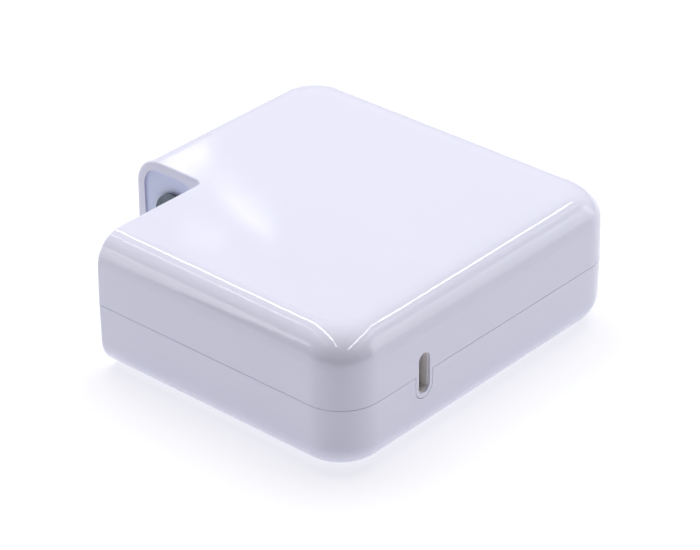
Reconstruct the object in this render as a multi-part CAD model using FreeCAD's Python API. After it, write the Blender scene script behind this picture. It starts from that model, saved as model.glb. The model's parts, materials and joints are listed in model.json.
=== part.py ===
import FreeCAD, Part
import math
import os
from FreeCAD import Vector

# Square wall-plug power adapter for a laptop. Millimetres, +Z up.
# Origin: middle of the underside. The corner at -X, -Y is cut away for a removable plug head.
# The USB-C outlet is in the +X side, and the supply inlet faces -X inside the cut corner.

# ---- Case ----
case_length = 80.0  # along X, at the parting line
case_width = 80.0  # along Y, at the parting line
case_height = 28.5
case_wall = 2.2
corner_radius = 8.8  # upright corners in plan, at the parting line
edge_radius = 6.0  # long edges between the sides and the top or bottom
corner_narrowing = 0.48  # loss of plan corner radius per millimetre that an edge curves inwards
draft_angle = 0.9  # degrees, each half narrows away from the parting line
groove_height = 0.11  # parting-line groove, shared by the two halves
groove_depth = 0.2
lip_height = 1.5  # lip of the top half that locates inside the bottom half
lip_thickness = 0.9
lip_clearance = 0.1

# ---- Cut corner for the plug head ----
bay_depth = 18.1  # along X, from the -X side
bay_width = 28.9  # along Y, from the -Y side
bay_corner_radius = 1.6
bay_edge_rounding = 0.35  # where the bay walls meet the outside of the case

# ---- Stud panel, in the bay wall that faces -Y ----
panel_rim = 2.0  # case material left round the panel's window
panel_recess = 0.4
panel_flange = 1.6  # plate behind the bay wall
panel_overlap = 1.0  # flange beyond the window, on the side of the bay's corner
panel_clearance = 0.05
stud_head_radius = 5.15
stud_head_thickness = 0.6
stud_neck_radius = 3.4
stud_shank_radius = 2.5
stud_stand_out = 0.7  # stud face beyond the bay wall
stud_raise = 3.7  # stud centre above the middle of the case
stud_offset = 1.6  # stud centre towards +X from the middle of the bay's depth
stud_hole_clearance = 0.1
stud_end = 0.6  # shank beyond the nut
washer_radius = 4.6
washer_thickness = 0.8
terminal_radius = 4.2
terminal_thickness = 0.6
terminal_tail_width = 3.2
terminal_barrel_wall = 0.5
terminal_barrel_length = 4.0
nut_width = 8.0  # across flats
nut_height = 2.8
earth_wire_radius = 1.1
earth_wire_reach = 4.5  # straight run from the terminal before the wire turns

# ---- Supply inlet, in the bay wall that faces -X ----
inlet_pin_radius = 1.2
inlet_pin_spacing = 8.6
inlet_pin_length = 9.0  # free length inside the recess
inlet_pin_tail = 3.0  # length behind the housing
inlet_lobe_radius = 3.9
inlet_waist = 5.4  # recess width between the two lobes
inlet_depth = 10.6
inlet_wall = 2.2
inlet_floor = 2.2
inlet_flange = 1.2
inlet_fit = 0.1
supply_wire_radius = 1.2
supply_wire_lanes = (2.0, 5.5)  # of the live and neutral wires, from the edge of the board's cut-out
wire_landing = 3.0  # where the wires meet the board, from the edge of its cut-out

# ---- USB-C outlet, in the +X side ----
port_from_middle = 18.35  # towards -Y
port_slot_height = 8.6  # long way, along Z
port_slot_width = 3.1
port_bezel_height = 10.4
port_bezel_width = 4.6
port_bezel_gap = 0.14
port_shell_height = 8.94
port_shell_width = 3.16
port_shell_wall = 0.3
port_shell_length = 7.4
port_shell_set_back = 0.5  # mouth of the shell behind the case face
port_shell_fit = 0.05
port_tongue_height = 6.7
port_tongue_thickness = 0.7
port_tongue_length = 5.2
port_contact_count = 12  # on each face of the tongue
port_contact_pitch = 0.5
port_contact_width = 0.25
port_contact_thickness = 0.05
port_contact_length = 3.4
usb_board_length = 20.0
usb_board_height = 15.0
usb_board_thickness = 1.0
usb_pin_count = 8
usb_pin_pitch = 1.8
usb_pin_start = 1.5  # first pin from the board's inner end
usb_pin_width = 0.6
usb_pin_thickness = 0.5
usb_pin_foot = 2.4
usb_pin_height = 2.6
controller_size = (5.0, 0.9, 5.0)
controller_from_end = 3.0  # from the board's inner end
controller_raise = 2.0  # centre above the middle of the board

# ---- Shields, board and clearances ----
film_thickness = 0.3
spreader_thickness = 0.6
spreader_gap = 0.4  # sheets to the case walls
board_thickness = 1.6
board_height = 5.6  # underside of the board
board_gap = 1.2  # board edge to the case walls
post_radius = 2.2
post_inset = 5.0  # post centres from the board's edges
lead_radius = 0.35
lead_clearance = 0.1
lead_tail = 1.1  # lead below the board
part_gap = 0.3  # stand-off of components above the board
post_root = 0.2  # depth of the posts in the case floor

# ---- Components ----
fuse_radius = 4.2
fuse_height = 7.5
short_lead_pitch = 5.0  # fuse, varistor, thermistor and disc capacitors
varistor_radius = 5.0
varistor_thickness = 3.8
thermistor_radius = 4.2
thermistor_thickness = 3.6
film_cap_size = (17.0, 6.5, 12.0)
film_cap_lead_pitch = 15.0
film_cap_edge = 0.5
disc_cap_radius = 3.4
disc_cap_thickness = 3.0
disc_cap_spacing = 4.5
choke_outer_radius = 5.2
choke_inner_radius = 2.7
choke_thickness = 4.6
choke_wire = 0.7
choke_turns = 7  # on each side
choke_turn_angle = 21.0  # degrees between turns
bridge_size = (14.0, 3.6, 11.0)
bridge_lead_pitch = 10.0
bridge_edge = 0.4
bulk_cap_radius = 6.2
bulk_cap_length = 24.0
bulk_cap_crimp = 2.6  # bead's distance from the open end
bulk_cap_seal = 1.6
bulk_cap_wall = 0.9
bulk_cap_edge = 0.6
bulk_cap_bead_depth = 0.5
bulk_cap_bead_radius = 0.8
bulk_cap_lead_pitch = 5.0
bulk_cap_lead_run = 1.6  # level run of the leads beyond the seal
sink_size = (17.0, 1.8, 12.0)
transistor_size = (7.6, 3.0, 10.0)
transistor_gap = 1.2  # between the two transistors
transistor_raise = 1.6  # bodies above the board
transistor_leg_pitch = 2.2
transistor_screw_drop = 2.4  # screw centre below the top of the body
screw_radius = 1.1
screw_head_height = 1.2
screw_slot_width = 0.5
screw_slot_depth = 0.5
screw_end = 1.0  # thread beyond the heat sink
output_cap_radius = 3.6
output_cap_height = 11.0
output_cap_count = 3
output_cap_pitch = 9.4
output_cap_lead_pitch = 3.5
coupler_size = (4.6, 6.4, 3.4)
coupler_gap = 2.0
coupler_leg_pitch = 2.54
rectifier_size = (5.0, 6.0, 1.0)
control_chip_size = (6.0, 5.0, 1.3)
small_part_size = (2.0, 1.2, 0.6)
small_part_rows = 4
small_part_columns = 6
small_parts_start = (0.02, -0.50)  # share of the board's half-length and half-width
small_parts_step = (0.15, 0.16)
transformer_size = (18.0, 18.0, 13.0)
transformer_leg = 3.2
side_leg_share = 0.7  # thickness of a core's side legs as a share of its middle leg's radius
boost_choke_size = (14.0, 14.0, 12.0)
boost_choke_leg = 2.4
core_height_share = 0.72  # height of the ferrite as a share of the whole component
bobbin_wall = 0.6
bobbin_flange = 0.7
bobbin_gap = 0.2  # flanges to the core's side legs
tape_thickness = 0.3
pad_clearance = 0.05
transformer_pad = (9.0, 9.0)
boost_choke_pad = (6.0, 8.0)
film_cap_pad = (14.0, 5.0)
bulk_cap_pad = (18.0, 3.0)

# ---- Places of the components, as shares of the board's half-length and half-width ----
choke_2_at = (0.063, 0.478)
bulk_caps_at = ((-0.620, 0.814), (0.190, 0.814))
bridge_at = (0.765, 0.656)
boost_choke_at = (0.279, 0.150)
transformer_at = (0.738, 0.219)
sink_at = (0.320, -0.178)
output_caps_at = (0.464, -0.861)
output_choke_at = (0.265, -0.546)
couplers_at = (0.738, -0.191)
rectifiers_at = ((0.546, -0.628), (0.738, -0.628))
control_chips_at = ((-0.450, 0.660), (0.100, 0.620), (0.550, 0.550))

# ---- Places beside the board's cut-out, in millimetres from the cut-out's inner corner ----
fuse_from_cut = (-12.6, 7.4)
choke_1_from_cut = (-24.1, 8.4)
disc_caps_from_cut = -3.05  # along X only

# ---- Places behind the cut-out, as shares of the board's half-length and of the strip's width ----
varistor_at = (-0.240, 0.361)
thermistor_at = (-0.287, 0.517)
film_cap_at = (-0.727, 0.496)
disc_caps_share = 0.153

# ---- Values that follow from those above ----
mid_height = case_height / 2
half_length = case_length / 2
half_width = case_width / 2
bay_x = -half_length + bay_depth
bay_y = -half_width + bay_width
stud_x = -half_length + bay_depth / 2 + stud_offset
stud_z = mid_height + stud_raise
panel_face = bay_y + panel_recess
wall_back_y = bay_y + case_wall
wall_back_x = bay_x + case_wall
panel_back = wall_back_y + panel_flange
inlet_y = -half_width + bay_width / 2
inlet_back = bay_x + inlet_depth + inlet_floor
port_y = -port_from_middle
board_top = board_height + board_thickness
lower_film_top = case_wall + film_thickness
lower_spreader_top = lower_film_top + spreader_thickness
upper_film_bottom = case_height - case_wall - film_thickness
upper_spreader_bottom = upper_film_bottom - spreader_thickness
board_half_x = half_length - case_wall - board_gap
board_half_y = half_width - case_wall - board_gap
nut_back = panel_back + washer_thickness + terminal_thickness + nut_height
board_cut_x = inlet_back + inlet_pin_tail + board_gap
board_cut_y = nut_back + board_gap


# ---- Shape helpers ----
def near(value, other):
    return abs(value - other) < 0.01


def box(x0, x1, y0, y1, z0, z1):
    return Part.makeBox(x1 - x0, y1 - y0, z1 - z0, Vector(x0, y0, z0))


def block(x, y, z0, size):
    """Box of a given size, centred on x, y and standing on z0."""
    length, width, height = size
    return box(x - length / 2, x + length / 2, y - width / 2, y + width / 2, z0, z0 + height)


def rod(radius, start, end):
    axis = end - start
    return Part.makeCylinder(radius, axis.Length, start, axis)


def tube(outer, inner, start, end):
    return rod(outer, start, end).cut(rod(inner, start, end))


def joined(shapes):
    """One node that holds several separate solids."""
    return Part.makeCompound(shapes)


def fused(shapes):
    return shapes[0].multiFuse(shapes[1:]).removeSplitter()


def rounded_outline(x0, x1, y0, y1, radius, z):
    """Rectangle with round corners, level at z."""
    lean = radius * (1 - math.sqrt(0.5))
    edges = [
        Part.LineSegment(Vector(x0 + radius, y0, z), Vector(x1 - radius, y0, z)),
        Part.Arc(Vector(x1 - radius, y0, z), Vector(x1 - lean, y0 + lean, z), Vector(x1, y0 + radius, z)),
        Part.LineSegment(Vector(x1, y0 + radius, z), Vector(x1, y1 - radius, z)),
        Part.Arc(Vector(x1, y1 - radius, z), Vector(x1 - lean, y1 - lean, z), Vector(x1 - radius, y1, z)),
        Part.LineSegment(Vector(x1 - radius, y1, z), Vector(x0 + radius, y1, z)),
        Part.Arc(Vector(x0 + radius, y1, z), Vector(x0 + lean, y1 - lean, z), Vector(x0, y1 - radius, z)),
        Part.LineSegment(Vector(x0, y1 - radius, z), Vector(x0, y0 + radius, z)),
        Part.Arc(Vector(x0, y0 + radius, z), Vector(x0 + lean, y0 + lean, z), Vector(x0 + radius, y0, z)),
    ]
    return Part.Wire([edge.toShape() for edge in edges])


def rounded_bar(x0, x1, y0, y1, z0, z1, radius, axis):
    """Box whose four edges along one axis are rounded."""
    bar = box(x0, x1, y0, y1, z0, z1)
    along = [e for e in bar.Edges if abs(abs(e.tangentAt(e.FirstParameter).dot(axis)) - 1) < 1e-6]
    return bar.makeFillet(radius, along)


def lead(points, radius):
    """Round wire along straight runs that are joined by tangent arcs."""
    edges = []
    start = points[0]
    for before, corner, after in zip(points, points[1:], points[2:]):
        back = (before - corner).normalize()
        ahead = (after - corner).normalize()
        turn = math.pi - back.getAngle(ahead)
        run = min((before - corner).Length, (after - corner).Length)
        bend = 0.45 * run / math.tan(turn / 2)
        reach = bend * math.tan(turn / 2)
        inward = (back + ahead).normalize()
        middle = corner + inward * (bend / math.cos(turn / 2) - bend)
        arc_start = corner + back * reach
        arc_end = corner + ahead * reach
        edges.append(Part.LineSegment(start, arc_start).toShape())
        edges.append(Part.Arc(arc_start, middle, arc_end).toShape())
        start = arc_end
    edges.append(Part.LineSegment(start, points[-1]).toShape())
    profile = Part.Wire(Part.Circle(points[0], points[1] - points[0], radius).toShape())
    return Part.Wire(edges).makePipeShell([profile], True, False)


X_AXIS = Vector(1, 0, 0)
Y_AXIS = Vector(0, 1, 0)
Z_AXIS = Vector(0, 0, 1)


# ---- Case ----
def edge_inset(height):
    """How far the draft brings a side inwards at a height above the parting line."""
    return height * math.tan(math.radians(draft_angle))


def section(offset, height, curve_in):
    """Outline of the upper half, shrunk by offset, at a height above the parting line."""
    inset = edge_inset(height) + curve_in
    radius = max(corner_radius - offset, 1.0) - corner_narrowing * inset
    x = half_length - offset - inset
    y = half_width - offset - inset
    return rounded_outline(-x, x, -y, y, radius, mid_height + height)


def upper_half(offset):
    """Upper half of the case's outer form with every face moved inwards by offset."""
    edge = max(edge_radius - offset, 1.0)
    rise = mid_height - offset - edge
    steps = [math.radians(angle) for angle in range(0, 91, 10)]
    curve = [section(offset, rise + edge * math.sin(t), edge * (1 - math.cos(t))) for t in steps]
    side = Part.makeLoft([section(offset, 0, 0), section(offset, rise, 0)], True, True)
    crown = Part.makeLoft(curve, True, False)
    return side.fuse(crown)


def mirrored(shape):
    """The same shape turned over about the parting plane."""
    return shape.mirror(Vector(0, 0, mid_height), Z_AXIS)


def bay(offset):
    """Space of the cut corner, grown by offset into the case."""
    past = 2 * bay_depth
    x = bay_x + offset
    y = bay_y + offset
    space = box(-half_length - past, x, -half_width - past, y, -past, case_height + past)
    corner = [e for e in space.Edges if near(e.CenterOfMass.x, x) and near(e.CenterOfMass.y, y)]
    return space.makeFillet(bay_corner_radius + offset, corner)


def case_form(offset):
    """Upper half of the case's outer form, cut corner included."""
    return upper_half(offset).cut(bay(offset))


def bay_rim_edges(shape):
    """Edges where the two bay walls meet the outside of the case."""
    rims = []
    for edge in shape.Edges:
        span = edge.BoundBox
        on_inlet_wall = near(span.XLength, 0) and near(span.XMax, bay_x)
        on_stud_wall = near(span.YLength, 0) and near(span.YMax, bay_y)
        in_corner = span.XMin > bay_x - 2 * bay_corner_radius and span.YMin > bay_y - 2 * bay_corner_radius
        at_parting = near(span.ZMax, mid_height)
        if (on_inlet_wall or on_stud_wall) and not in_corner and not at_parting:
            rims.append(edge)
    return rims


def outer_form():
    """Upper half of the case's outside, with the rims of the cut corner rounded."""
    form = case_form(0)
    return form.makeFillet(bay_edge_rounding, bay_rim_edges(form))


def band(z0, z1):
    """Level slice of space that covers the whole case."""
    return box(-case_length, case_length, -case_width, case_width, z0, z1)


def panel_window():
    """Window in the bay wall that the stud panel looks out of."""
    x0 = -half_length + panel_rim
    x1 = bay_x - panel_rim
    z0 = panel_rim
    z1 = case_height - panel_rim
    radius = edge_radius - panel_rim
    return rounded_bar(x0, x1, bay_y - 1, wall_back_y, z0, z1, radius, Y_AXIS)


def inlet_outline(grow, x0, x1):
    """Round-ended block along Z about the inlet's axis."""
    radius = inlet_lobe_radius + inlet_wall + grow
    reach = inlet_pin_spacing / 2 + radius
    y0 = inlet_y - radius
    y1 = inlet_y + radius
    return rounded_bar(x0, x1, y0, y1, mid_height - reach, mid_height + reach, radius - 0.01, X_AXIS)


def port_form(height, width, x0, x1):
    """Round-ended block along Z about the USB-C outlet's axis."""
    radius = width / 2 - 0.001
    z0 = mid_height - height / 2
    z1 = mid_height + height / 2
    return rounded_bar(x0, x1, port_y - width / 2, port_y + width / 2, z0, z1, radius, X_AXIS)


def port_mouth():
    """X of the front edge of the metal shell."""
    return half_length - port_shell_set_back


def shell_pocket():
    """Room in the case wall for the metal shell behind the slot."""
    fit = 2 * port_shell_fit
    x0 = half_length - 2 * case_wall
    return port_form(port_shell_height + fit, port_shell_width + fit, x0, port_mouth())


def hollow_half():
    """Upper half shell with its parting-line groove."""
    shell = outer_form().cut(case_form(case_wall))
    edge_ring = case_form(0).cut(case_form(groove_depth))
    return shell.cut(edge_ring.common(band(mid_height, mid_height + groove_height / 2)))


def lip(thickness_clearance, height):
    """Ring just inside the lower half's wall, below the parting line."""
    outer = mirrored(case_form(case_wall - lip_thickness))
    inner = mirrored(case_form(case_wall))
    ring = outer.cut(inner)
    if thickness_clearance:
        ring = mirrored(case_form(case_wall - lip_thickness - thickness_clearance)).cut(inner)
    return ring.common(band(mid_height - height, mid_height))


def post_places():
    """Three corners of the board; the fourth is cut away."""
    x = board_half_x - post_inset
    y = board_half_y - post_inset
    return [(x, y), (-x, y), (x, -y)]


def board_posts():
    """Posts of the lower half that carry the main board."""
    places = post_places()
    floor = case_wall - post_root
    return [rod(post_radius, Vector(px, py, floor), Vector(px, py, board_height)) for px, py in places]


def top_case():
    """Upper shell, with the lip and the bezel that carries the USB-C slot down past the parting line."""
    past = half_length + 1
    bezel = port_form(port_bezel_height, port_bezel_width, half_length - case_wall - 0.4, past)
    bezel = bezel.common(mirrored(upper_half(0)).fuse(upper_half(0)))
    shape = hollow_half().fuse(lip(0, lip_height)).fuse(bezel)
    shape = shape.cut(port_form(port_slot_height, port_slot_width, half_length - 2 * case_wall, past))
    shape = shape.cut(shell_pocket())
    shape = shape.cut(panel_window()).cut(inlet_outline(inlet_fit, bay_x - 1, wall_back_x + 1))
    return shape.removeSplitter()


def bottom_case():
    past = half_length + 1
    gap = 2 * port_bezel_gap
    shape = mirrored(hollow_half()).cut(lip(lip_clearance, lip_height + lip_clearance))
    shape = shape.multiFuse(board_posts())
    x0 = half_length - 3 * case_wall
    shape = shape.cut(port_form(port_bezel_height + gap, port_bezel_width + gap, x0, past))
    shape = shape.cut(panel_window()).cut(inlet_outline(inlet_fit, bay_x - 1, wall_back_x + 1))
    return shape.removeSplitter()


# ---- Bay: stud panel and stud ----
def stud_point(y):
    return Vector(stud_x, y, stud_z)


def stud_hole(y0, y1):
    return rod(stud_shank_radius + stud_hole_clearance, stud_point(y0), stud_point(y1))


def stud_panel():
    """Plate that closes the window in the bay wall, with its flange behind the wall."""
    x0 = -half_length + panel_rim + panel_clearance
    x1 = bay_x - panel_rim - panel_clearance
    z0 = panel_rim + panel_clearance
    z1 = case_height - z0
    radius = edge_radius - panel_rim - panel_clearance
    nose = rounded_bar(x0, x1, panel_face, wall_back_y, z0, z1, radius, Y_AXIS)
    edge = case_wall + spreader_gap
    back_radius = edge_radius - edge
    x2 = -half_length + edge
    x3 = bay_x - panel_rim + panel_overlap
    flange = rounded_bar(x2, x3, wall_back_y, panel_back, edge, case_height - edge, back_radius, Y_AXIS)
    return fused([nose, flange]).cut(stud_hole(panel_face - 1, panel_back + 1))


def ground_stud():
    """Headed stud: the plug head's rails slide in behind the head."""
    front = bay_y - stud_stand_out
    neck_front = front + stud_head_thickness
    head = rod(stud_head_radius, stud_point(front), stud_point(neck_front))
    face_edge = [e for e in head.Edges if len(e.Vertexes) == 1 and near(e.CenterOfMass.y, front)]
    head = head.makeFillet(stud_head_thickness / 3, face_edge)
    neck = rod(stud_neck_radius, stud_point(neck_front), stud_point(panel_face))
    shank = rod(stud_shank_radius, stud_point(panel_face), stud_point(nut_back + stud_end))
    return fused([head, neck, shank])


def ground_washer():
    start = stud_point(panel_back)
    end = stud_point(panel_back + washer_thickness)
    return tube(washer_radius, stud_shank_radius + stud_hole_clearance, start, end)


def earth_terminal():
    """Ring terminal with its tail and wire barrel towards +X."""
    y0 = panel_back + washer_thickness
    y1 = y0 + terminal_thickness
    ring = rod(terminal_radius, stud_point(y0), stud_point(y1))
    x = stud_x + 2 * terminal_radius
    y = y0 + terminal_thickness / 2
    half = terminal_tail_width / 2
    tail = box(stud_x, x, y0, y1, stud_z - half, stud_z + half)
    start = Vector(x - terminal_barrel_length / 4, y, stud_z)
    barrel = rod(earth_wire_radius + terminal_barrel_wall, start, start + X_AXIS * terminal_barrel_length)
    return fused([ring, tail, barrel]).cut(stud_hole(y0 - 1, y1 + 1))


def ground_nut():
    y0 = panel_back + washer_thickness + terminal_thickness
    corner = nut_width / math.sqrt(3)
    turns = [math.radians(60 * k) for k in range(7)]
    points = [Vector(stud_x + corner * math.cos(t), y0, stud_z + corner * math.sin(t)) for t in turns]
    hexagon = Part.Face(Part.makePolygon(points)).extrude(Vector(0, nut_height, 0))
    return hexagon.cut(rod(stud_shank_radius, stud_point(y0 - 1), stud_point(y0 + nut_height + 1)))


# ---- Bay: supply inlet ----
def pin_heights():
    return mid_height + inlet_pin_spacing / 2, mid_height - inlet_pin_spacing / 2


def inlet_socket():
    """Housing of the supply inlet, with a figure-of-eight recess that opens towards -X."""
    body = inlet_outline(0, bay_x, inlet_back)
    flange = inlet_outline(inlet_flange, wall_back_x, wall_back_x + inlet_flange)
    floor_x = bay_x + inlet_depth
    high, low = pin_heights()
    lobes = []
    holes = []
    for z in (low, high):
        lobes.append(rod(inlet_lobe_radius, Vector(bay_x - 1, inlet_y, z), Vector(floor_x, inlet_y, z)))
        start = Vector(floor_x - 1, inlet_y, z)
        holes.append(rod(inlet_pin_radius, start, Vector(inlet_back + 1, inlet_y, z)))
    waist = box(bay_x - 1, floor_x, inlet_y - inlet_waist / 2, inlet_y + inlet_waist / 2, low, high)
    shape = fused([body, flange]).cut(fused(lobes + [waist]))
    return shape.cut(joined(holes))


def inlet_pin(z):
    """Round pin with a domed tip in the recess and a solder tail behind the housing."""
    tip = bay_x + inlet_depth - inlet_pin_length
    tail = inlet_back + inlet_pin_tail
    pin = rod(inlet_pin_radius, Vector(tip, inlet_y, z), Vector(tail, inlet_y, z))
    rim = [e for e in pin.Edges if len(e.Vertexes) == 1 and near(e.CenterOfMass.x, tip)]
    return pin.makeFillet(inlet_pin_radius * 0.7, rim)


# ---- USB-C outlet ----
def usb_shell():
    x1 = port_mouth()
    x0 = x1 - port_shell_length
    outer = port_form(port_shell_height, port_shell_width, x0, x1)
    wall = 2 * port_shell_wall
    inner = port_form(port_shell_height - wall, port_shell_width - wall, x0 + 2 * port_shell_wall, x1 + 1)
    return outer.cut(inner)


def usb_tongue():
    x0 = port_mouth() - port_shell_length + 2 * port_shell_wall
    y = port_tongue_thickness / 2
    z = port_tongue_height / 2
    return box(x0, x0 + port_tongue_length, port_y - y, port_y + y, mid_height - z, mid_height + z)


def usb_contacts():
    """Two rows of flat contacts on the faces of the tongue."""
    strips = []
    x1 = port_mouth() - port_shell_length + port_tongue_length
    x0 = x1 - port_contact_length
    first = mid_height - port_contact_pitch * (port_contact_count - 1) / 2
    face = port_tongue_thickness / 2
    for k in range(port_contact_count):
        z = first + k * port_contact_pitch
        z0 = z - port_contact_width / 2
        z1 = z + port_contact_width / 2
        strips.append(box(x0, x1, port_y + face, port_y + face + port_contact_thickness, z0, z1))
        strips.append(box(x0, x1, port_y - face - port_contact_thickness, port_y - face, z0, z1))
    return joined(strips)


def usb_board_place():
    """Low x, high x and the near face of the small upright board beside the USB-C shell."""
    x1 = half_length - case_wall - board_gap
    return x1 - usb_board_length, x1, port_y + port_shell_width / 2


def usb_board():
    x0, x1, y0 = usb_board_place()
    return box(x0, x1, y0, y0 + usb_board_thickness, board_top, board_top + usb_board_height)


def usb_board_pins():
    """Angle pins that join the small board to the main board."""
    x0, x1, y0 = usb_board_place()
    y = y0 + usb_board_thickness
    z = board_top + usb_pin_thickness
    pins = []
    for k in range(usb_pin_count):
        x = x0 + usb_pin_start + usb_pin_pitch * k
        foot = box(x, x + usb_pin_width, y, y + usb_pin_foot, board_top, z)
        stem = box(x, x + usb_pin_width, y, y + usb_pin_thickness, z, board_top + usb_pin_height)
        pins.append(fused([foot, stem]))
    return joined(pins)


def outlet_controller():
    """Flat control chip on the small board."""
    x0, x1, y0 = usb_board_place()
    y = y0 + usb_board_thickness
    length, thickness, height = controller_size
    x = x0 + controller_from_end
    z = board_top + usb_board_height / 2 + controller_raise
    return box(x, x + length, y, y + thickness, z - height / 2, z + height / 2)


# ---- Main board ----
def place(share):
    """Point at shares of the board's half-length and half-width."""
    return share[0] * board_half_x, share[1] * board_half_y


def beside_cut(offset):
    """Point at a distance from the inner corner of the board's cut-out."""
    return board_cut_x + offset[0], board_cut_y + offset[1]


def strip_y(share):
    """Y at a share of the strip between the cut-out and the board's +Y edge."""
    return board_cut_y + share * (board_half_y - board_cut_y)


def behind_cut(share):
    return share[0] * board_half_x, strip_y(share[1])


leads = []


def drill(x, y, top):
    """Notes a component lead and returns it as a wire through the board up to top."""
    leads.append((x, y))
    return rod(lead_radius, Vector(x, y, board_height - lead_tail), Vector(x, y, top))


def main_board():
    """Board with one corner cut away for the inlet, and a hole for each lead."""
    board = box(-board_half_x, board_half_x, -board_half_y, board_half_y, board_height, board_top)
    upright = [e for e in board.Edges if near(e.CenterOfMass.z, (board_height + board_top) / 2)]
    board = board.makeFillet(corner_radius - case_wall - board_gap, upright)
    board = board.cut(box(-case_length, board_cut_x, -case_width, board_cut_y, 0, case_height))
    radius = lead_radius + lead_clearance
    holes = [rod(radius, Vector(x, y, board_height - 1), Vector(x, y, board_top + 1)) for x, y in leads]
    return board.cut(joined(holes))


# ---- Components of the main board ----
def standing_rod(at, radius, height, lead_pitch):
    """Upright round component on two leads."""
    x, y = at
    base = board_top + part_gap
    body = rod(radius, Vector(x, y, base), Vector(x, y, base + height))
    rims = [e for e in body.Edges if len(e.Vertexes) == 1 and near(e.CenterOfMass.z, base + height)]
    body = body.makeFillet(radius / 8, rims)
    wires = [drill(x + side * lead_pitch / 2, y, base) for side in (-1, 1)]
    return fused([body] + wires)


def upright_disc(x, y, radius, thickness):
    """Coated disc that stands on edge with its flat faces towards +Y and -Y, on two leads."""
    z = board_top + part_gap + radius + 1
    start = Vector(x, y - thickness / 2, z)
    disc = rod(radius, start, start + Vector(0, thickness, 0))
    disc = disc.makeFillet(thickness / 3, [e for e in disc.Edges if len(e.Vertexes) == 1])
    wires = [drill(x + side * short_lead_pitch / 2, y, z) for side in (-1, 1)]
    return fused([disc] + wires)


def boxed_part(at, size, lead_pitch, edge):
    """Moulded block on two leads."""
    x, y = at
    base = board_top + part_gap
    body = block(x, y, base, size)
    body = body.makeFillet(edge, [e for e in body.Edges if e.CenterOfMass.z > base + 0.1])
    wires = [drill(x + side * lead_pitch / 2, y, base) for side in (-1, 1)]
    return fused([body] + wires)


def varistor():
    return upright_disc(*behind_cut(varistor_at), varistor_radius, varistor_thickness)


def inrush_thermistor():
    return upright_disc(*behind_cut(thermistor_at), thermistor_radius, thermistor_thickness)


def film_capacitor():
    return boxed_part(behind_cut(film_cap_at), film_cap_size, film_cap_lead_pitch, film_cap_edge)


def disc_caps():
    x = board_cut_x + disc_caps_from_cut
    y = strip_y(disc_caps_share)
    discs = []
    for side in (-1, 1):
        discs.append(upright_disc(x, y + side * disc_cap_spacing / 2, disc_cap_radius, disc_cap_thickness))
    return joined(discs)


def ring_choke(at):
    """Upright toroid: its core, and two windings of separate turns that end in leads."""
    x, y = at
    wire = choke_wire
    z = board_top + part_gap + choke_outer_radius + wire
    centre = Vector(x, y, z)
    half = choke_thickness / 2
    start = centre - Vector(0, half, 0)
    core = tube(choke_outer_radius, choke_inner_radius, start, start + Vector(0, choke_thickness, 0))
    low = math.sqrt(choke_inner_radius**2 - (wire / 2) ** 2) - 0.01
    high = choke_outer_radius
    turns = []
    for side in (0, 180):
        for k in range(choke_turns):
            frame = box(low - wire, high + wire, -half - wire, half + wire, -wire / 2, wire / 2)
            frame = frame.cut(box(low, high, -half, half, -wire, wire))
            angle = side + choke_turn_angle * (k - (choke_turns - 1) / 2)
            frame.rotate(Vector(0, 0, 0), Y_AXIS, angle)
            frame.translate(centre)
            turns.append(frame)
    reach = high + wire - lead_radius
    for sx in (-1, 1):
        turns.append(drill(x + sx * (reach + 2 * lead_radius + 0.05), y, z))
    return core, joined(turns)


def bulk_cap(at):
    """Lying electrolytic capacitor: its can with a rolled bead, and the rubber seal with leads."""
    x, y = at
    radius = bulk_cap_radius
    z = board_top + part_gap + radius
    x0 = x - bulk_cap_length / 2
    x1 = x + bulk_cap_length / 2
    can = rod(radius, Vector(x0, y, z), Vector(x1, y, z))
    can = can.makeFillet(bulk_cap_edge, [e for e in can.Edges if len(e.Vertexes) == 1])
    bead_circle = radius + bulk_cap_bead_radius - bulk_cap_bead_depth
    bead = Part.makeTorus(bead_circle, bulk_cap_bead_radius, Vector(x1 - bulk_cap_crimp, y, z), X_AXIS)
    inside = radius - bulk_cap_wall
    mouth = rod(inside, Vector(x1 - bulk_cap_seal, y, z), Vector(x1 + 1, y, z))
    can = can.cut(bead).cut(mouth)
    seal = rod(inside, Vector(x1 - bulk_cap_seal, y, z), Vector(x1, y, z))
    lead_x = x1 + bulk_cap_lead_run
    wires = []
    for side in (-1, 1):
        lead_y = y + side * bulk_cap_lead_pitch / 2
        foot = drill(lead_x, lead_y, z)
        start = Vector(x1 - bulk_cap_seal / 2, lead_y, z)
        wires.append(rod(lead_radius, start, Vector(lead_x, lead_y, z)).fuse(foot))
    return can, fused([seal] + wires)


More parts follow.
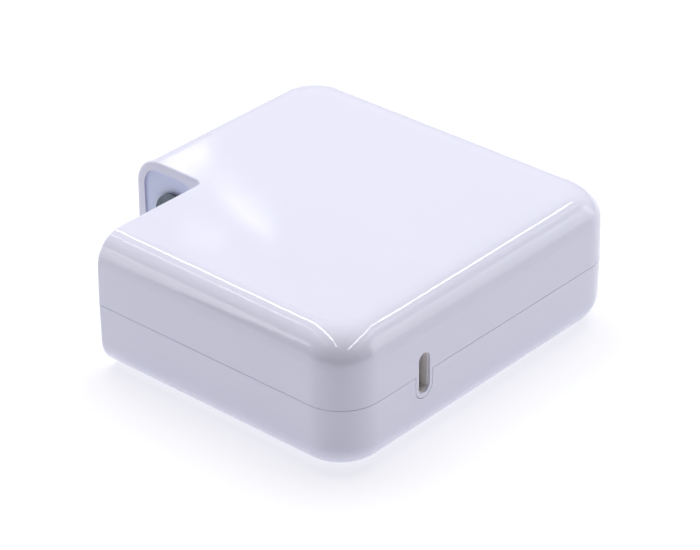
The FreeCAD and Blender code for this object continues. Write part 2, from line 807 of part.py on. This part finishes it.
def wound_core(at, length, width, height, leg, wire_layers):
    """Ferrite core of two E halves along X round a bobbin. Gives the core, bobbin, windings and tape."""
    x, y = at
    z = board_top + part_gap + height / 2
    plate = leg
    tall = height * core_height_share
    halves = []
    for side in (-1, 1):
        x_end = x + side * length / 2
        x_in = x_end - side * plate
        back_x = sorted((x_end, x_in))
        back = box(*back_x, y - width / 2, y + width / 2, z - tall / 2, z + tall / 2)
        centre_leg = rod(leg, Vector(x_in, y, z), Vector(x, y, z))
        sides = []
        for s in (-1, 1):
            y_out = y + s * width / 2
            y_in = y_out - s * leg * side_leg_share
            low = min(y_out, y_in)
            high = max(y_out, y_in)
            sides.append(box(min(x, x_in), max(x, x_in), low, high, z - tall / 2, z + tall / 2))
        halves.append(fused([back, centre_leg] + sides))
    x0 = x - length / 2 + plate
    x1 = x + length / 2 - plate
    ends = Vector(x0, y, z), Vector(x1, y, z)
    window = width / 2 - leg * side_leg_share - bobbin_gap
    bobbin = tube(leg + bobbin_wall, leg, *ends)
    flange = bobbin_flange
    for start, end in ((x0, x0 + flange), (x1 - flange, x1)):
        bobbin = bobbin.fuse(tube(window, leg, Vector(start, y, z), Vector(end, y, z)))
    rail_top = z - leg - bobbin_wall / 2
    rail = box(x0, x0 + flange, y - window, y + window, board_top, rail_top)
    rail_2 = box(x1 - flange, x1, y - window, y + window, board_top, rail_top)
    bobbin = bobbin.multiFuse([rail, rail_2]).removeSplitter()
    inner = leg + bobbin_wall
    depth = (window - tape_thickness - inner) / wire_layers
    windings = []
    start = Vector(x0 + flange, y, z)
    end = Vector(x1 - flange, y, z)
    for k in range(wire_layers):
        windings.append(tube(inner + (k + 1) * depth, inner + k * depth, start, end))
    tape = tube(window, window - tape_thickness, start, end)
    return joined(halves), bobbin, windings, tape


def heat_sink():
    x, y = place(sink_at)
    return block(x, y, board_top, sink_size)


def sink_screw_places():
    x, y = place(sink_at)
    pitch = transistor_size[0] + transistor_gap
    z = board_top + transistor_raise + transistor_size[2] - transistor_screw_drop
    return [Vector(x + side * pitch / 2, y, z) for side in (-1, 1)]


def drilled_for_screws(shape, radius):
    reach = Y_AXIS * case_width
    for point in sink_screw_places():
        shape = shape.cut(rod(radius, point - reach, point + reach))
    return shape


def power_transistors():
    """Pair of flat transistors on the -Y face of the heat sink."""
    length, thickness, height = transistor_size
    bodies = []
    for point in sink_screw_places():
        y1 = point.y - sink_size[1] / 2
        base = board_top + transistor_raise
        body = box(point.x - length / 2, point.x + length / 2, y1 - thickness, y1, base, base + height)
        legs = [drill(point.x + transistor_leg_pitch * k, y1 - thickness / 2, base) for k in (-1, 0, 1)]
        bodies.append(fused([body] + legs))
    return drilled_for_screws(joined(bodies), screw_radius + lead_clearance)


def transistor_screws():
    screws = []
    for point in sink_screw_places():
        face = point.y - sink_size[1] / 2 - transistor_size[1]
        back = point.y + sink_size[1] / 2
        front = face - screw_head_height
        head = rod(2 * screw_radius, Vector(point.x, front, point.z), Vector(point.x, face, point.z))
        wide = 3 * screw_radius
        half = screw_slot_width / 2
        x0 = point.x - wide
        x1 = point.x + wide
        slot = box(x0, x1, front - 1, front + screw_slot_depth, point.z - half, point.z + half)
        end = Vector(point.x, back + screw_end, point.z)
        shank = rod(screw_radius, Vector(point.x, face, point.z), end)
        screws.append(fused([head, shank]).cut(slot))
    return joined(screws)


def output_caps():
    """Row of upright solid capacitors."""
    x, y = place(output_caps_at)
    cans = []
    for k in range(output_cap_count):
        cx = x + output_cap_pitch * (k - (output_cap_count - 1) / 2)
        cans.append(standing_rod((cx, y), output_cap_radius, output_cap_height, output_cap_lead_pitch))
    return joined(cans)


def couplers():
    """Pair of small four-legged optocouplers."""
    x, y = place(couplers_at)
    length, width, height = coupler_size
    parts = []
    for side in (-1, 1):
        cx = x + side * (length + coupler_gap) / 2
        body = block(cx, y, board_top + part_gap, coupler_size)
        legs = []
        for sx in (-1, 1):
            for sy in (-1, 1):
                ly = y + sy * (width / 2 + 0.7 * lead_radius)
                legs.append(drill(cx + sx * coupler_leg_pitch / 2, ly, board_top + part_gap + height / 2))
        parts.append(fused([body] + legs))
    return joined(parts)


def flat_chips(places, size, base):
    """Flat packages that stand on base."""
    return joined([block(*place(share), base, size) for share in places])


def control_chips():
    """Flat chips under the board."""
    return flat_chips(control_chips_at, control_chip_size, board_height - control_chip_size[2])


def small_parts():
    """Rows of chip resistors and capacitors under the board."""
    parts = []
    base = board_height - small_part_size[2]
    for row in range(small_part_rows):
        for column in range(small_part_columns):
            x = (small_parts_start[0] + small_parts_step[0] * column) * board_half_x
            y = (small_parts_start[1] + small_parts_step[1] * row) * board_half_y
            parts.append(block(x, y, base, small_part_size))
    return joined(parts)


# ---- Wires ----
def supply_wire(z, lane):
    """Insulated lead from an inlet pin to the board, in its own lane beside the cut-out."""
    x = inlet_back + inlet_pin_tail
    turn_x = board_cut_x + lane
    end_y = board_cut_y + wire_landing
    points = [
        Vector(x, inlet_y, z),
        Vector(turn_x, inlet_y, z),
        Vector(turn_x, end_y, z),
        Vector(turn_x, end_y, board_top),
    ]
    return lead(points, supply_wire_radius)


def earth_wire():
    """Insulated lead from the ring terminal's barrel down to the board."""
    x = stud_x + 2 * terminal_radius + 0.75 * terminal_barrel_length
    y = panel_back + washer_thickness + terminal_thickness / 2
    turn_x = x + earth_wire_reach
    end_y = board_cut_y + wire_landing
    points = [
        Vector(x, y, stud_z),
        Vector(turn_x, y, stud_z),
        Vector(turn_x, end_y, stud_z),
        Vector(turn_x, end_y, board_top),
    ]
    return lead(points, earth_wire_radius)


# ---- Heat spreaders and insulation ----
def sheet(z0, z1):
    """Level sheet just inside the case walls, with the cut corner left out."""
    edge = edge_radius + spreader_gap
    x = half_length - edge
    y = half_width - edge
    outline = Part.Face(rounded_outline(-x, x, -y, y, corner_radius / 2, z0))
    return outline.extrude(Vector(0, 0, z1 - z0)).cut(bay(case_wall + panel_flange + spreader_gap))


def without_posts(shape):
    for px, py in post_places():
        shape = shape.cut(rod(post_radius + spreader_gap, Vector(px, py, 0), Vector(px, py, board_height)))
    return shape


def winding_top(size, leg):
    """Top of a wound core's tape."""
    length, width, height = size
    return board_top + part_gap + height / 2 + width / 2 - leg * side_leg_share - bobbin_gap


def thermal_pads():
    """Soft pads between the tall components and the upper heat spreader."""
    cap_top = board_top + part_gap + 2 * bulk_cap_radius
    tops = (
        (place(transformer_at), winding_top(transformer_size, transformer_leg), transformer_pad),
        (place(boost_choke_at), winding_top(boost_choke_size, boost_choke_leg), boost_choke_pad),
        (behind_cut(film_cap_at), board_top + part_gap + film_cap_size[2], film_cap_pad),
        (place(bulk_caps_at[0]), cap_top, bulk_cap_pad),
        (place(bulk_caps_at[1]), cap_top, bulk_cap_pad),
    )
    pads = []
    for at, top, pad in tops:
        base = top + pad_clearance
        pads.append(block(*at, base, (*pad, upper_spreader_bottom - base)))
    return joined(pads)


# ---- Write the parts ----
def all_nodes():
    nodes = {
        "top_case": top_case(),
        "bottom_case": bottom_case(),
        "stud_panel": stud_panel(),
        "ground_stud": ground_stud(),
        "ground_washer": ground_washer(),
        "ground_terminal": earth_terminal(),
        "ground_nut": ground_nut(),
        "ground_wire": earth_wire(),
        "inlet_socket": inlet_socket(),
        "usb_shell": usb_shell(),
        "usb_tongue": usb_tongue(),
        "usb_contacts": usb_contacts(),
        "usb_board": usb_board(),
        "usb_board_pins": usb_board_pins(),
        "outlet_controller": outlet_controller(),
        "fuse": standing_rod(beside_cut(fuse_from_cut), fuse_radius, fuse_height, short_lead_pitch),
        "varistor": varistor(),
        "inrush_thermistor": inrush_thermistor(),
        "film_capacitor": film_capacitor(),
        "disc_capacitors": disc_caps(),
        "bridge_rectifier": boxed_part(place(bridge_at), bridge_size, bridge_lead_pitch, bridge_edge),
        "heat_sink": drilled_for_screws(heat_sink(), screw_radius),
        "power_transistors": power_transistors(),
        "transistor_screws": transistor_screws(),
        "output_capacitors": output_caps(),
        "optocouplers": couplers(),
        "rectifier_transistors": flat_chips(rectifiers_at, rectifier_size, board_top),
        "control_chips": control_chips(),
        "small_parts": small_parts(),
        "lower_film": without_posts(sheet(case_wall, lower_film_top)),
        "lower_heat_spreader": without_posts(sheet(lower_film_top, lower_spreader_top)),
        "upper_heat_spreader": sheet(upper_spreader_bottom, upper_film_bottom),
        "upper_film": sheet(upper_film_bottom, case_height - case_wall),
        "thermal_pads": thermal_pads(),
    }
    for name, z in zip(("live", "neutral"), pin_heights()):
        nodes["inlet_pin_" + name] = inlet_pin(z)
    for name, z, lane in zip(("live", "neutral"), pin_heights(), supply_wire_lanes):
        nodes[name + "_wire"] = supply_wire(z, lane)
    chokes = {
        "input_choke_1": beside_cut(choke_1_from_cut),
        "input_choke_2": place(choke_2_at),
        "output_choke": place(output_choke_at),
    }
    for name, at in chokes.items():
        nodes[name + "_core"], nodes[name + "_winding"] = ring_choke(at)
    for number, at in enumerate(bulk_caps_at, start=1):
        name = "bulk_capacitor_" + str(number)
        nodes[name + "_can"], nodes[name + "_seal"] = bulk_cap(place(at))
    core, bobbin, windings, tape = wound_core(place(transformer_at), *transformer_size, transformer_leg, 2)
    nodes["transformer_core"] = core
    nodes["transformer_bobbin"] = bobbin
    nodes["transformer_primary"], nodes["transformer_secondary"] = windings
    nodes["transformer_tape"] = tape
    core, bobbin, windings, tape = wound_core(place(boost_choke_at), *boost_choke_size, boost_choke_leg, 1)
    nodes["boost_choke_core"] = core
    nodes["boost_choke_bobbin"] = bobbin
    nodes["boost_choke_winding"] = windings[0]
    nodes["boost_choke_tape"] = tape
    nodes["main_board"] = main_board()
    return nodes


os.makedirs("parts", exist_ok=True)
for node_name, node_shape in all_nodes().items():
    node_shape.exportStep("parts/" + node_name + ".step")
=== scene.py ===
import json
import math

import bpy
from mathutils import Matrix, Vector


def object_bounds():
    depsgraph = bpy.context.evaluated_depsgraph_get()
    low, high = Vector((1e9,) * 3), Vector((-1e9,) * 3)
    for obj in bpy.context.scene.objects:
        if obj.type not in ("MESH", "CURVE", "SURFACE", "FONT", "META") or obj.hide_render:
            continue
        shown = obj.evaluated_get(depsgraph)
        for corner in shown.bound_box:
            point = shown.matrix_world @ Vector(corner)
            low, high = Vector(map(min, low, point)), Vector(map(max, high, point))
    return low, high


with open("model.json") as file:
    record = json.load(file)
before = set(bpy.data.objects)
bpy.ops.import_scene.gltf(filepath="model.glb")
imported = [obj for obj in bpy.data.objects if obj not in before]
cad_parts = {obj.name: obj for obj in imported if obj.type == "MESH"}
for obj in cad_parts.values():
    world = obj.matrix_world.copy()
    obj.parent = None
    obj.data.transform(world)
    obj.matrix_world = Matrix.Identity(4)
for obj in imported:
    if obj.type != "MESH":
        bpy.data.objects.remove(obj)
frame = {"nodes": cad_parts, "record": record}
cad_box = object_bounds()
RECORD = frame["record"]
NODES = frame["nodes"]
MOUNTS = {m["name"]: m for m in RECORD["mounts"]}
SLOT_OF = {part["node"]: part["material_slot"] for part in RECORD["subparts"]}

# ---- Camera, metres and degrees ----
CAMERA_AZIMUTH = 41.49
CAMERA_ELEVATION = 30.52
CAMERA_ROLL = -0.39
CAMERA_DISTANCE = 0.5623
CAMERA_TARGET = Vector((0.00666, -0.00083, 0.01416))
CAMERA_LENS = 151.2
SENSOR_WIDTH = 36.0
CLIP_START = 0.01
CLIP_END = 20.0

# ---- Floor ----
FLOOR_HALF_SIDE = 4.0
FLOOR_DROP = 0.0001  # below the object's lowest point
FLOOR_COLOUR = (0.34, 0.34, 0.34, 1)
FLOOR_GLOW_COLOUR = (0.95, 0.95, 1, 1)
FLOOR_GLOW = 0.7
FLOOR_ROUGHNESS = 0.9
FLOOR_SPECULAR = 0.1

# ---- Surroundings: strength at the front and at the back, and the way from one to the other ----
WORLD_FRONT = 0.0
WORLD_BACK = 0.28
WORLD_WAY = (-0.66, 0.75, 0.1)
WORLD_BLEND_HALF = 0.6  # the change runs from minus this to plus this along the way

# ---- Lights: metres, and radiance ----
OVERHEAD_PLACE = (-0.14, 0.2, 0.85)
OVERHEAD_TARGET = (0, 0, 0)
OVERHEAD_SIZE = (1.0, 0.8)
OVERHEAD_RADIANCE = 3.8
OVERHEAD_COLOUR = (1.0, 1.0, 0.96)
PANEL_TARGET = (0, 0, 0.01)
PANEL_SIZE = (0.8, 0.5)
PANELS = {  # place, radiance
    "left_panel": ((-0.77, -0.44, 0.28), 1.9),
    "right_panel": ((0.6, 0.68, 0.28), 1.55),
}
TUBES = {  # start, end, width, radiance
    "tube_1": ((-0.62, 0.33, 0.6), (0.262, -0.362, 0.6), 0.02, 14.0),
    "tube_2": ((0.04, 0.62, 0.6), (0.461, -0.275, 0.6), 0.02, 13.0),
    "tube_3": ((-0.74, 0.17, 0.6), (0.1, -0.477, 0.6), 0.02, 4.0),
    "tube_4": ((0.22, 0.71, 0.6), (0.58, -0.085, 0.6), 0.02, 3.0),
    "window_1": ((-0.5345, 0.482, 0.408), (-0.526, 0.503, 0.404), 0.012, 2.6),
    "window_2": ((-0.507, 0.490, 0.414), (-0.476, 0.491, 0.424), 0.007, 2.3),
    "window_3": ((-0.507, 0.463, 0.423), (-0.488, 0.470, 0.427), 0.010, 0.8),
}

# ---- Finishes ----
STUD_COLOUR = (0.11, 0.13, 0.16)
PANEL_COLOUR = (0.62, 0.67, 0.9)
PANEL_ROUGHNESS = 0.35
WIRE_PITCH = 0.0005
WAVE_SCALE = 0.314  # a wave texture of this scale repeats once per metre
METAL_ROUGHNESS = {
    "pin_metal": 0.22,
    "fastener_steel": 0.35,
    "tinned_copper": 0.3,
    "contact_gold": 0.2,
    "capacitor_can": 0.35,
    "polymer_can": 0.3,
    "sink_aluminium": 0.4,
}


def make_camera():
    azimuth = math.radians(CAMERA_AZIMUTH)
    elevation = math.radians(CAMERA_ELEVATION)
    level = math.cos(elevation)
    back = Vector((math.sin(azimuth) * level, -math.cos(azimuth) * level, math.sin(elevation)))
    data = bpy.data.cameras.new("camera")
    data.lens = CAMERA_LENS
    data.sensor_width = SENSOR_WIDTH
    data.clip_start = CLIP_START
    data.clip_end = CLIP_END
    camera = bpy.data.objects.new("camera", data)
    bpy.context.scene.collection.objects.link(camera)
    turn = (-back).to_track_quat("-Z", "Y").to_matrix().to_4x4()
    roll = Matrix.Rotation(math.radians(CAMERA_ROLL), 4, "Z")
    camera.matrix_world = Matrix.Translation(CAMERA_TARGET + back * CAMERA_DISTANCE) @ turn @ roll
    bpy.context.scene.camera = camera


# ---- Light and floor ----
def area_light(name, place, target, size, radiance, along=None):
    """Rectangular light of a given radiance that faces a target, its first side level or along a line."""
    data = bpy.data.lights.new(name, "AREA")
    data.shape = "RECTANGLE"
    data.size, data.size_y = size
    data.energy = math.pi * radiance * size[0] * size[1]
    light = bpy.data.objects.new(name, data)
    bpy.context.scene.collection.objects.link(light)
    back = (Vector(place) - Vector(target)).normalized()
    if along is None:
        along = Vector((0, 0, 1)).cross(back)
    across = back.cross(Vector(along)).normalized()
    lengthways = across.cross(back)
    turn = Matrix((lengthways, across, back)).transposed().to_4x4()
    light.matrix_world = Matrix.Translation(Vector(place)) @ turn
    return light


def tube_light(name, start, end, width, radiance):
    """Long narrow light between two points that only shows as a highlight in glossy surfaces."""
    start, end = Vector(start), Vector(end)
    middle = (start + end) / 2
    size = ((end - start).length, width)
    light = area_light(name, middle, (0, 0, 0), size, radiance, end - start)
    light.visible_diffuse = False


def make_lights():
    overhead = area_light("overhead", OVERHEAD_PLACE, OVERHEAD_TARGET, OVERHEAD_SIZE, OVERHEAD_RADIANCE)
    overhead.visible_glossy = False
    overhead.data.color = OVERHEAD_COLOUR
    for name, (place, radiance) in PANELS.items():
        area_light(name, place, PANEL_TARGET, PANEL_SIZE, radiance)
    for name, (start, end, width, radiance) in TUBES.items():
        tube_light(name, start, end, width, radiance)


def make_world():
    """Plain grey surroundings that brighten smoothly from the front to the back."""
    world = bpy.data.worlds.new("studio")
    bpy.context.scene.world = world
    world.use_nodes = True
    tree = world.node_tree
    way = tree.nodes.new("ShaderNodeTexCoord").outputs["Generated"]
    dot = tree.nodes.new("ShaderNodeVectorMath")
    dot.operation = "DOT_PRODUCT"
    dot.inputs[1].default_value = WORLD_WAY
    tree.links.new(way, dot.inputs[0])
    strength = tree.nodes.new("ShaderNodeMapRange")
    strength.interpolation_type = "SMOOTHSTEP"
    strength.inputs["From Min"].default_value = -WORLD_BLEND_HALF
    strength.inputs["From Max"].default_value = WORLD_BLEND_HALF
    strength.inputs["To Min"].default_value = WORLD_FRONT
    strength.inputs["To Max"].default_value = WORLD_BACK
    tree.links.new(dot.outputs["Value"], strength.inputs["Value"])
    tree.links.new(strength.outputs["Result"], tree.nodes["Background"].inputs["Strength"])
    tree.nodes["Background"].inputs["Color"].default_value = (1.0, 1.0, 1.0, 1.0)


def make_floor():
    mesh = bpy.data.meshes.new("floor")
    signs = ((-1, -1), (1, -1), (1, 1), (-1, 1))
    corners = [(x * FLOOR_HALF_SIDE, y * FLOOR_HALF_SIDE, 0) for x, y in signs]
    mesh.from_pydata(corners, [], [(0, 1, 2, 3)])
    floor = bpy.data.objects.new("floor", mesh)
    bpy.context.scene.collection.objects.link(floor)
    floor.location.z = cad_box[0].z - FLOOR_DROP
    material = bpy.data.materials.new("floor_paper")
    material.use_nodes = True
    shader = material.node_tree.nodes["Principled BSDF"]
    shader.inputs["Base Color"].default_value = FLOOR_COLOUR
    shader.inputs["Roughness"].default_value = FLOOR_ROUGHNESS
    shader.inputs["Emission Color"].default_value = FLOOR_GLOW_COLOUR
    shader.inputs["Emission Strength"].default_value = FLOOR_GLOW
    shader.inputs["Specular IOR Level"].default_value = FLOOR_SPECULAR
    mesh.materials.append(material)


# ---- Materials ----
class Surface:
    """A material's node tree with short names for the nodes that the finishes below use."""

    def __init__(self, name):
        self.material = bpy.data.materials.new(name)
        self.material.use_nodes = True
        self.tree = self.material.node_tree
        self.shader = self.tree.nodes["Principled BSDF"]
        self.coordinates = self.add("ShaderNodeTexCoord").outputs["Object"]

    def add(self, kind, **values):
        node = self.tree.nodes.new(kind)
        for key, value in values.items():
            setattr(node, key, value)
        return node

    def link(self, start, end):
        self.tree.links.new(start, end)

    def set(self, **values):
        for key, value in values.items():
            self.shader.inputs[key.replace("_", " ")].default_value = value

    def noise(self, scale, detail=3.0, stretch=(1, 1, 1)):
        mapping = self.add("ShaderNodeMapping")
        mapping.inputs["Scale"].default_value = stretch
        self.link(self.coordinates, mapping.inputs["Vector"])
        node = self.add("ShaderNodeTexNoise")
        node.inputs["Scale"].default_value = scale
        node.inputs["Detail"].default_value = detail
        self.link(mapping.outputs["Vector"], node.inputs["Vector"])
        return node.outputs["Fac"]

    def spread(self, value, low, high, start=0.3, end=0.7):
        node = self.add("ShaderNodeMapRange")
        node.inputs["From Min"].default_value = start
        node.inputs["From Max"].default_value = end
        node.inputs["To Min"].default_value = low
        node.inputs["To Max"].default_value = high
        self.link(value, node.inputs["Value"])
        return node.outputs["Result"]

    def blend(self, value, first, second, start=0.3, end=0.7):
        node = self.add("ShaderNodeMix", data_type="RGBA")
        node.inputs["A"].default_value = (*first, 1)
        node.inputs["B"].default_value = (*second, 1)
        self.link(self.spread(value, 0, 1, start, end), node.inputs["Factor"])
        return node.outputs["Result"]

    def bump(self, value, strength, distance, before=None):
        node = self.add("ShaderNodeBump")
        node.inputs["Strength"].default_value = strength
        node.inputs["Distance"].default_value = distance
        self.link(value, node.inputs["Height"])
        if before is not None:
            self.link(before, node.inputs["Normal"])
        return node.outputs["Normal"]

    def finish(self, colour=None, roughness=None, normal=None):
        pairs = (("Base Color", colour), ("Roughness", roughness), ("Normal", normal))
        for name, value in pairs:
            if value is not None:
                self.link(value, self.shader.inputs[name])
        return self.material


def shade(colour, amount):
    return tuple(min(1.0, c * amount) for c in colour)


def case_plastic():
    """Glossy white polycarbonate: faint mottling, slight sinks, a trace of orange peel and fine haze."""
    s = Surface("case_plastic")
    s.set(IOR=1.58, Subsurface_Weight=0.08, Subsurface_Scale=0.001)
    s.shader.inputs["Subsurface Radius"].default_value = (1.0, 0.9, 1.0)
    colour = s.blend(s.noise(scale=35, detail=2), first=(0.74, 0.74, 0.9), second=(0.755, 0.752, 0.91))
    roughness = s.spread(s.noise(scale=90, detail=4), low=0.055, high=0.08)
    sink = s.bump(s.noise(scale=70, detail=1), strength=1.0, distance=0.00003)
    peel = s.bump(s.noise(scale=420, detail=1), strength=0.05, distance=0.00004, before=sink)
    haze = s.bump(s.noise(scale=3500, detail=2), strength=0.04, distance=0.00001, before=peel)
    return s.finish(colour, roughness, haze)


def moulded(name, colour, roughness=0.45):
    """Moulded plastic and other matt materials, with a fine grain."""
    s = Surface(name)
    tone = s.blend(s.noise(scale=60, detail=3), shade(colour, 0.94), shade(colour, 1.05))
    rough = s.spread(s.noise(scale=200, detail=4), low=roughness - 0.06, high=roughness + 0.08)
    grain = s.bump(s.noise(scale=2500, detail=2), strength=0.25, distance=0.00002)
    return s.finish(tone, rough, grain)


def metal(name, colour, roughness):
    """Bare or plated metal with a fine brushed grain."""
    s = Surface(name)
    s.set(Metallic=1.0)
    brushed = (1, 1, 14)
    tone = s.blend(s.noise(scale=120, detail=3), shade(colour, 0.85), shade(colour, 1.1))
    streaks = s.noise(scale=300, detail=4, stretch=brushed)
    rough = s.spread(streaks, low=roughness - 0.08, high=roughness + 0.12)
    grain = s.bump(s.noise(scale=900, detail=3, stretch=brushed), strength=0.15, distance=0.00002)
    return s.finish(tone, rough, grain)


def nickel_shell(name):
    """Pale satin plating, warm and fairly dull."""
    s = Surface(name)
    s.set(Metallic=0.05)
    tone = s.blend(s.noise(scale=500, detail=3), first=(0.8, 0.76, 0.75), second=(0.88, 0.84, 0.83))
    rough = s.spread(s.noise(scale=900, detail=4), low=0.4, high=0.55)
    grain = s.bump(s.noise(scale=2500, detail=2), strength=0.15, distance=0.00001)
    return s.finish(tone, rough, grain)


def winding(name, colour, pitch):
    """Enamelled wire laid side by side along X, with painted shade darkening the grooves between turns
    and a painted highlight lightening their crowns.
    """
    s = Surface(name)
    s.set(Metallic=0.6)
    wave = s.add("ShaderNodeTexWave", wave_type="BANDS", bands_direction="X")
    wave.inputs["Scale"].default_value = WAVE_SCALE / pitch
    wave.inputs["Distortion"].default_value = 0.3
    s.link(s.coordinates, wave.inputs["Vector"])
    # painted shade and highlight: the wire colour drops to half in the grooves between turns and rises on
    # the crowns, following the bump's bands
    tone = s.blend(wave.outputs["Fac"], shade(colour, 0.5), shade(colour, 1.1), start=0.2, end=0.8)
    rough = s.spread(s.noise(scale=300), low=0.25, high=0.4)
    turns = s.bump(wave.outputs["Fac"], strength=0.8, distance=0.0001)
    return s.finish(tone, rough, turns)


def laminate(name, colour):
    """Solder mask over woven glass, with a faint weave."""
    s = Surface(name)
    s.set(Coat_Weight=0.3)
    weave = s.add("ShaderNodeTexWave", wave_type="BANDS", bands_direction="DIAGONAL")
    weave.inputs["Scale"].default_value = 900
    s.link(s.coordinates, weave.inputs["Vector"])
    tone = s.blend(weave.outputs["Fac"], shade(colour, 0.85), shade(colour, 1.15))
    rough = s.spread(s.noise(scale=250), low=0.3, high=0.45)
    threads = s.bump(weave.outputs["Fac"], strength=0.2, distance=0.00001)
    return s.finish(tone, rough, threads)


def turned_metal(name, colour, centre):
    """Dark plated stud with fine turning rings about its axis along Y."""
    s = Surface(name)
    s.set(Metallic=1.0)
    shift = s.add("ShaderNodeVectorMath", operation="SUBTRACT")
    shift.inputs[1].default_value = centre
    s.link(s.coordinates, shift.inputs[0])
    rings = s.add("ShaderNodeTexWave", wave_type="RINGS", rings_direction="Y")
    rings.inputs["Scale"].default_value = 1600
    rings.inputs["Distortion"].default_value = 0.4
    s.link(shift.outputs["Vector"], rings.inputs["Vector"])
    tone = s.blend(s.noise(scale=400, detail=3), shade(colour, 0.85), shade(colour, 1.15))
    rough = s.spread(s.noise(scale=700, detail=4), low=0.3, high=0.42)
    turning = s.bump(rings.outputs["Fac"], strength=0.12, distance=0.00001)
    return s.finish(tone, rough, turning)


def record_colour(slot):
    return next(tuple(m["base_color"][:3]) for m in RECORD["materials"] if m["slot"] == slot)


def slot_material(slot):
    """The finish of one of the record's material slots."""
    colour = record_colour(slot)
    if slot == "case_plastic":
        return case_plastic()
    if slot == "stud_metal":
        return turned_metal(slot, STUD_COLOUR, MOUNTS["plug_head_stud"]["pos_m"])
    if slot == "enamelled_copper":
        return winding(slot, colour, WIRE_PITCH)
    if slot == "panel_plastic":
        return moulded(slot, PANEL_COLOUR, PANEL_ROUGHNESS)
    if slot == "board_laminate":
        return laminate(slot, colour)
    if slot == "usb_steel":
        return nickel_shell(slot)
    if slot in METAL_ROUGHNESS:
        return metal(slot, colour, METAL_ROUGHNESS[slot])
    return moulded(slot, colour)


def dress_nodes():
    made = {}
    for name, node in NODES.items():
        slot = SLOT_OF[name]
        if slot not in made:
            made[slot] = slot_material(slot)
        node.data.materials.clear()
        node.data.materials.append(made[slot])


make_camera()
make_floor()
make_world()
make_lights()
bpy.context.scene.view_settings.view_transform = "Standard"
dress_nodes()
